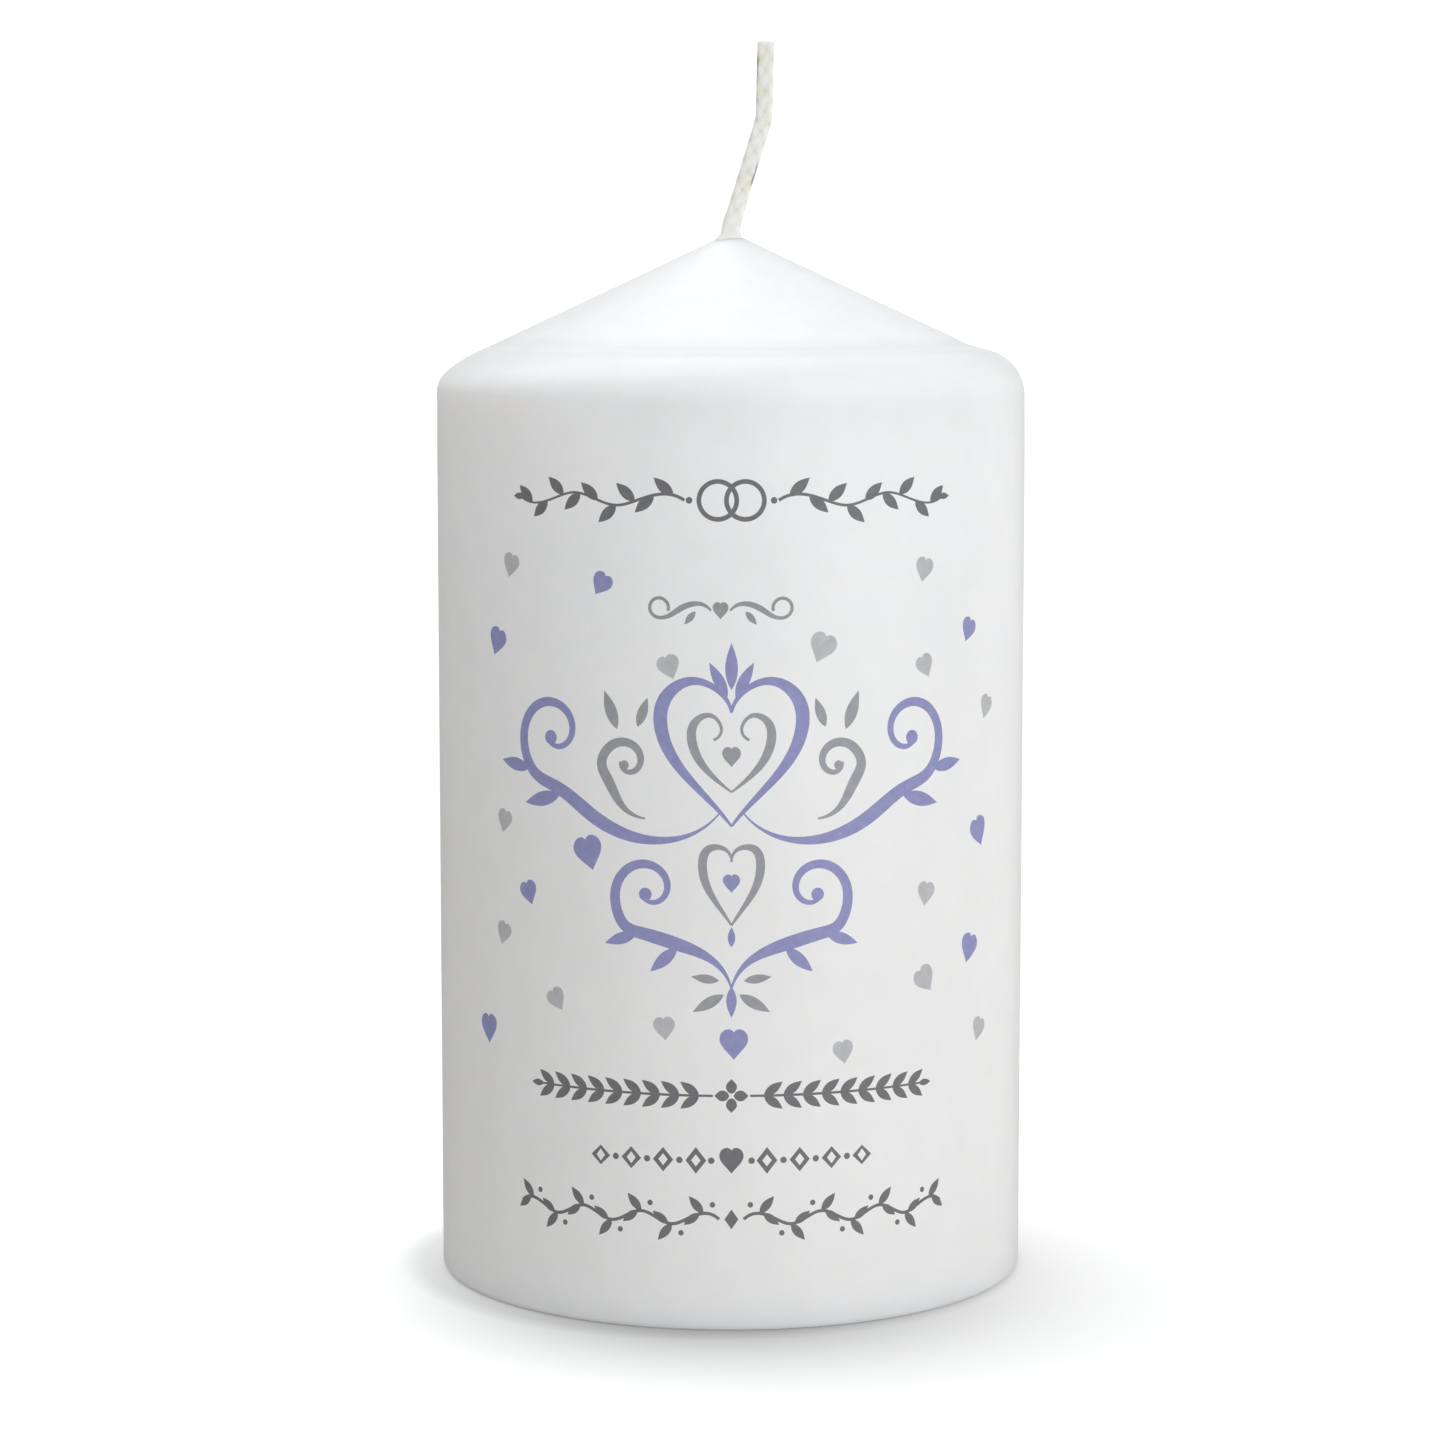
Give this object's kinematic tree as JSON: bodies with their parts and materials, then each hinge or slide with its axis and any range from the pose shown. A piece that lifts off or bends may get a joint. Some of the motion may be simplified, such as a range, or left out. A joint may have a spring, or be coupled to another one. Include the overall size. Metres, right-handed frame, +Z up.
{
  "type": "unity candle",
  "caption": "Wide white wax pillar candle with a conical top, a bent braided wick, and lilac and grey heart and scroll ornaments printed round its front.",
  "frame": {"origin": "centre of the base, on the surface that the candle stands on", "axes": "+Z up along the candle's axis; the printed front faces -Y; the wick leans towards +X"},
  "size_m": [0.08, 0.08, 0.1671],
  "materials": {
    "coat_wax": "smooth dipped white wax with a soft satin gloss",
    "core_wax": "pressed white wax, faintly grained and matt",
    "plug_wax": "poured white wax, slightly translucent",
    "wick": "square braided cotton soaked in wax, off-white",
    "tinplate": "thin pressed tinplate",
    "dark_grey_ink": "satin printed ink",
    "light_grey_ink": "satin printed ink",
    "mid_grey_ink": "satin printed ink",
    "pale_grey_ink": "satin printed ink",
    "lilac_ink": "satin printed ink"
  },
  "bodies": {
    "candle": {"wax_core": "core_wax", "overdip_coat": "coat_wax", "wick_run": "wick", "wick_sustainer": "tinplate", "base_plug": "plug_wax", "rings_and_sprigs": "dark_grey_ink", "laurel_row": "dark_grey_ink", "diamond_row": "dark_grey_ink", "vine_row": "dark_grey_ink", "small_divider": "light_grey_ink", "upper_flourish_lilac": "lilac_ink", "lower_flourish_lilac": "lilac_ink", "hearts_lilac": "lilac_ink", "upper_flourish_grey": "mid_grey_ink", "lower_flourish_grey": "mid_grey_ink", "hearts_grey": "pale_grey_ink"},
    "lower_wick": {"wick_stem": "wick"},
    "upper_wick": {"wick_tip": "wick"}
  },
  "joints": [
    {"name": "wick_root_bend", "type": "hinge", "parent": "candle", "child": "lower_wick", "pos_m": [0, 0, 0.14255], "axis": [0, 1, 0], "range_deg": [-60, 30]},
    {"name": "wick_fold_bend", "type": "hinge", "parent": "lower_wick", "child": "upper_wick", "pos_m": [0.00445, 0, 0.157], "axis": [0, 1, 0], "range_deg": [-45, 60]}
  ]
}
